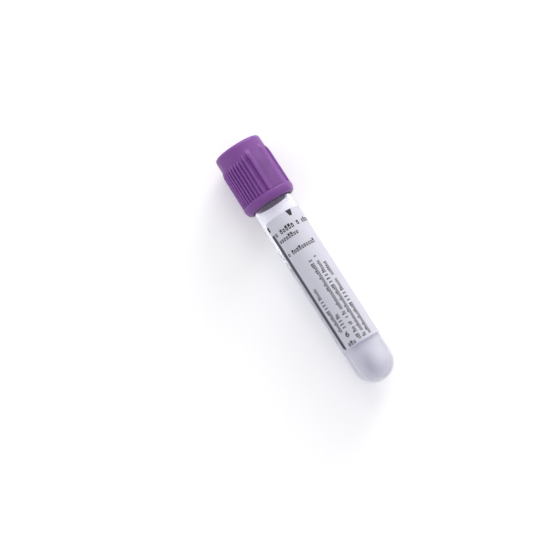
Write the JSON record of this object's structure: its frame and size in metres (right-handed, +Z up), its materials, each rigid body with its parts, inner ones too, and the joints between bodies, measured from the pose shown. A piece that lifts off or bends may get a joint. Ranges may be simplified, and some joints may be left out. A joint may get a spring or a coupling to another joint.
{
  "type": "blood collection tube",
  "caption": "Capped round-bottom blood collection tube, lying down: clear plastic vial, wrap label, rubber stopper with a needle well, and a ribbed outer shield.",
  "frame": {"origin": "on the floor under the middle of the whole tube, as it lies", "axes": "+Z up; +X from the round tip towards the closure, in plan; the tube's own axis rises 2.02 degrees towards the closure, because the closure's ring is wider than the tube"},
  "size_m": [0.0854, 0.0172, 0.0175],
  "materials": {
    "clear_plastic": "clear, glossy, injection-moulded polyester (PET)",
    "label_paper": "smooth coated label stock, satin",
    "stopper_rubber": "matt moulded butyl rubber",
    "shield_plastic": "satin moulded polyethylene, lavender"
  },
  "bodies": {
    "vial": {"tube": "clear_plastic", "label": "label_paper"},
    "closure": {"shield": "shield_plastic", "stopper": "stopper_rubber"}
  },
  "joints": [
    {"name": "closure_pull", "type": "slide", "parent": "vial", "child": "closure", "axis": [0.9994, 0, 0.0353], "range_m": [0, 0.03]}
  ]
}
